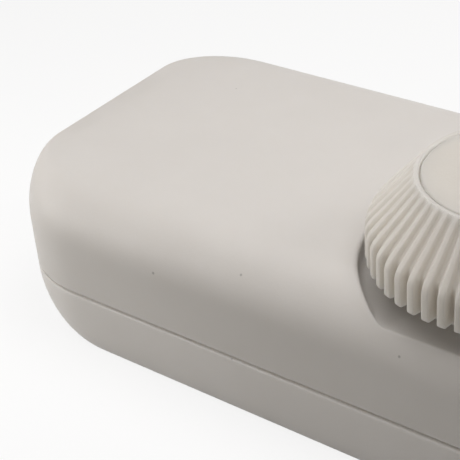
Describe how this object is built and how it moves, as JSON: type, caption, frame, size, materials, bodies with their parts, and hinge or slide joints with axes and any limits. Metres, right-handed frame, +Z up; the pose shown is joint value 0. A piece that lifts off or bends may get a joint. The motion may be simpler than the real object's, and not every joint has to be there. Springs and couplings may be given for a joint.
{
  "type": "inline dimmer",
  "caption": "Low oblong cord dimmer with a ribbed conical dial set off-centre in a round well, a cord entry at each end and its circuit board inside.",
  "frame": {"origin": "middle of the underside, on the surface that the case rests on", "axes": "+X along the case from one cord entry to the other, +Y across and away from the side that the dial is near, +Z up along the dial's axis"},
  "size_m": [0.13, 0.048, 0.0338],
  "materials": {
    "cover_plastic": "warm white moulded plastic, satin",
    "base_plastic": "warm white moulded plastic, satin",
    "dial_plastic": "warm white moulded plastic, slightly yellower than the case",
    "plated_steel": "bright zinc plating",
    "aluminium": "bare, matt",
    "brass": "stamped or turned, plain",
    "board_laminate": "brown paper laminate",
    "black_plastic": "moulded, matt",
    "ferrite": "dark grey pressed iron powder",
    "enamelled_copper": "lacquered winding",
    "capacitor_plastic": "smooth moulded box",
    "resistor_body": "lacquered ceramic",
    "glass": "clear tube",
    "terminal_plastic": "moulded terminal block"
  },
  "bodies": {
    "housing": {"top_cover": "cover_plastic", "base_shell": "base_plastic", "potentiometer_can": "plated_steel", "potentiometer_track": "board_laminate", "potentiometer_pins": "brass", "shaft_washer": "plated_steel", "shaft_nut": "brass", "circuit_board": "board_laminate", "board_screws": "plated_steel", "heat_sink": "aluminium", "triac": "black_plastic", "heat_sink_screw": "plated_steel", "heat_sink_nut": "plated_steel", "choke_core": "ferrite", "choke_winding": "enamelled_copper", "filter_capacitor": "capacitor_plastic", "timing_capacitor": "capacitor_plastic", "resistors": "resistor_body", "trigger_diode": "glass", "fuse_glass": "glass", "fuse_caps": "plated_steel", "fuse_clips": "brass", "terminal_block_left": "terminal_plastic", "terminal_block_right": "terminal_plastic", "terminal_cages": "brass", "terminal_screws": "plated_steel", "cord_clamp_left": "base_plastic", "cord_clamp_right": "base_plastic", "clamp_screws": "plated_steel", "cover_screws": "plated_steel"},
    "dial": {"dial_knob": "dial_plastic", "dial_cap": "dial_plastic", "dial_screw": "plated_steel", "potentiometer_shaft": "aluminium", "potentiometer_rotor": "black_plastic"}
  },
  "joints": [
    {"name": "dial_turn", "type": "hinge", "parent": "housing", "child": "dial", "pos_m": [0, -0.00745, 0.0234], "axis": [0, 0, 1], "range_deg": [-140, 140]}
  ]
}
